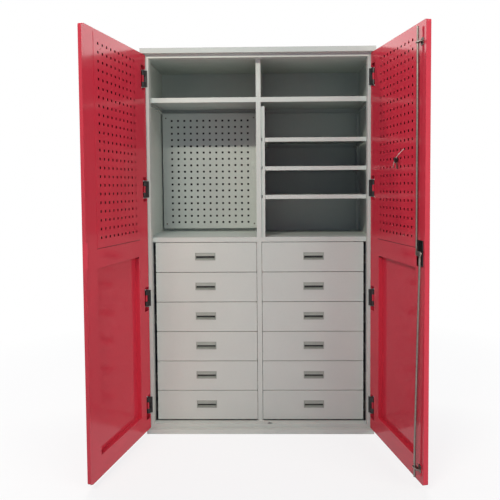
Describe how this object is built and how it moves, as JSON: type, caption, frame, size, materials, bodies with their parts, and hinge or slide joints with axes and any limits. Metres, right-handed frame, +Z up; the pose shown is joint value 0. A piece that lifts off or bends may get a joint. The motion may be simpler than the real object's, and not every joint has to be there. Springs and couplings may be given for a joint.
{
  "type": "tool cabinet with doors",
  "caption": "Tall steel tool cabinet with two hinged doors, perforated tool panels, shelves, drawers on runners and a rod lock.",
  "frame": {"origin": "centre of the flat underside of the base, on the floor", "axes": "+X to the right seen from the front, +Y from the doors towards the back wall, +Z up"},
  "size_m": [1.4511, 1.1276, 2],
  "materials": {
    "grey_paint": "satin",
    "red_paint": "gloss",
    "black_steel": "satin",
    "zinc_steel": "satin",
    "pull_grey": "matte",
    "key_black": "matte",
    "tie_white": "matte"
  },
  "bodies": {
    "cabinet": {"base": "grey_paint", "roof": "grey_paint", "side_panel_left": "grey_paint", "side_panel_right": "grey_paint", "back_panel": "grey_paint", "front_frame": "grey_paint", "divider_top": "grey_paint", "divider_middle": "grey_paint", "divider_lower": "grey_paint", "top_shelf": "grey_paint", "middle_shelf": "grey_paint", "tool_panel": "grey_paint", "drawer_liners": "grey_paint", "drawer_runners": "zinc_steel", "shelf_uprights": "grey_paint", "shelf_clips": "zinc_steel", "hinge_brackets": "black_steel", "adjustable_shelf_1": "grey_paint", "adjustable_shelf_2": "grey_paint", "adjustable_shelf_3": "grey_paint"},
    "left_door": {"left_door_skin": "red_paint", "left_door_frame": "red_paint", "left_door_tool_panel": "red_paint", "left_door_knuckles": "red_paint"},
    "right_door": {"right_door_skin": "red_paint", "right_door_frame": "red_paint", "right_door_tool_panel": "red_paint", "right_door_knuckles": "red_paint", "lock_housing": "black_steel", "rod_guides": "zinc_steel", "key_tie": "tie_white", "keys": "key_black"},
    "lock": {"lock_handle": "black_steel", "lock_cam": "zinc_steel"},
    "upper_rod": {"upper_locking_rod": "zinc_steel"},
    "lower_rod": {"lower_locking_rod": "zinc_steel"},
    "drawer_left_1_body": {"drawer_left_1": "grey_paint", "pull_left_1": "pull_grey"},
    "drawer_left_2_body": {"drawer_left_2": "grey_paint", "pull_left_2": "pull_grey"},
    "drawer_left_3_body": {"drawer_left_3": "grey_paint", "pull_left_3": "pull_grey"},
    "drawer_left_4_body": {"drawer_left_4": "grey_paint", "pull_left_4": "pull_grey"},
    "drawer_left_5_body": {"drawer_left_5": "grey_paint", "pull_left_5": "pull_grey"},
    "drawer_left_6_body": {"drawer_left_6": "grey_paint", "pull_left_6": "pull_grey"},
    "drawer_right_1_body": {"drawer_right_1": "grey_paint", "pull_right_1": "pull_grey"},
    "drawer_right_2_body": {"drawer_right_2": "grey_paint", "pull_right_2": "pull_grey"},
    "drawer_right_3_body": {"drawer_right_3": "grey_paint", "pull_right_3": "pull_grey"},
    "drawer_right_4_body": {"drawer_right_4": "grey_paint", "pull_right_4": "pull_grey"},
    "drawer_right_5_body": {"drawer_right_5": "grey_paint", "pull_right_5": "pull_grey"},
    "drawer_right_6_body": {"drawer_right_6": "grey_paint", "pull_right_6": "pull_grey"}
  },
  "joints": [
    {"name": "left_door_hinge", "type": "hinge", "parent": "cabinet", "child": "left_door", "pos_m": [-0.5895, -0.2615, 0.999], "axis": [0, 0, -1], "range_deg": [-102, 8]},
    {"name": "right_door_hinge", "type": "hinge", "parent": "cabinet", "child": "right_door", "pos_m": [0.5895, -0.2615, 0.999], "axis": [0, 0, 1], "range_deg": [-102, 8]},
    {"name": "drawer_left_1_slide", "type": "slide", "parent": "cabinet", "child": "drawer_left_1_body", "axis": [0, -1, 0], "range_m": [0, 0.33]},
    {"name": "drawer_left_2_slide", "type": "slide", "parent": "cabinet", "child": "drawer_left_2_body", "axis": [0, -1, 0], "range_m": [0, 0.33]},
    {"name": "drawer_left_3_slide", "type": "slide", "parent": "cabinet", "child": "drawer_left_3_body", "axis": [0, -1, 0], "range_m": [0, 0.33]},
    {"name": "drawer_left_4_slide", "type": "slide", "parent": "cabinet", "child": "drawer_left_4_body", "axis": [0, -1, 0], "range_m": [0, 0.33]},
    {"name": "drawer_left_5_slide", "type": "slide", "parent": "cabinet", "child": "drawer_left_5_body", "axis": [0, -1, 0], "range_m": [0, 0.33]},
    {"name": "drawer_left_6_slide", "type": "slide", "parent": "cabinet", "child": "drawer_left_6_body", "axis": [0, -1, 0], "range_m": [0, 0.33]},
    {"name": "drawer_right_1_slide", "type": "slide", "parent": "cabinet", "child": "drawer_right_1_body", "axis": [0, -1, 0], "range_m": [0, 0.33]},
    {"name": "drawer_right_2_slide", "type": "slide", "parent": "cabinet", "child": "drawer_right_2_body", "axis": [0, -1, 0], "range_m": [0, 0.33]},
    {"name": "drawer_right_3_slide", "type": "slide", "parent": "cabinet", "child": "drawer_right_3_body", "axis": [0, -1, 0], "range_m": [0, 0.33]},
    {"name": "drawer_right_4_slide", "type": "slide", "parent": "cabinet", "child": "drawer_right_4_body", "axis": [0, -1, 0], "range_m": [0, 0.33]},
    {"name": "drawer_right_5_slide", "type": "slide", "parent": "cabinet", "child": "drawer_right_5_body", "axis": [0, -1, 0], "range_m": [0, 0.33]},
    {"name": "drawer_right_6_slide", "type": "slide", "parent": "cabinet", "child": "drawer_right_6_body", "axis": [0, -1, 0], "range_m": [0, 0.33]},
    {"name": "lock_turn", "type": "hinge", "parent": "right_door", "child": "lock", "pos_m": [0.70489, -0.80437, 1.009], "axis": [0.9781, 0.2079, 0], "range_deg": [0, 90]},
    {"name": "upper_rod_slide", "type": "slide", "parent": "right_door", "child": "upper_rod", "axis": [0, 0, 1], "range_m": [0, 0.01923]},
    {"name": "lower_rod_slide", "type": "slide", "parent": "right_door", "child": "lower_rod", "axis": [0, 0, -1], "range_m": [0, 0.01923]}
  ],
  "couplings": [
    {"joint": "upper_rod_slide", "follows": "lock_turn", "m_per_rad": 0.01224},
    {"joint": "lower_rod_slide", "follows": "lock_turn", "m_per_rad": 0.01224}
  ]
}
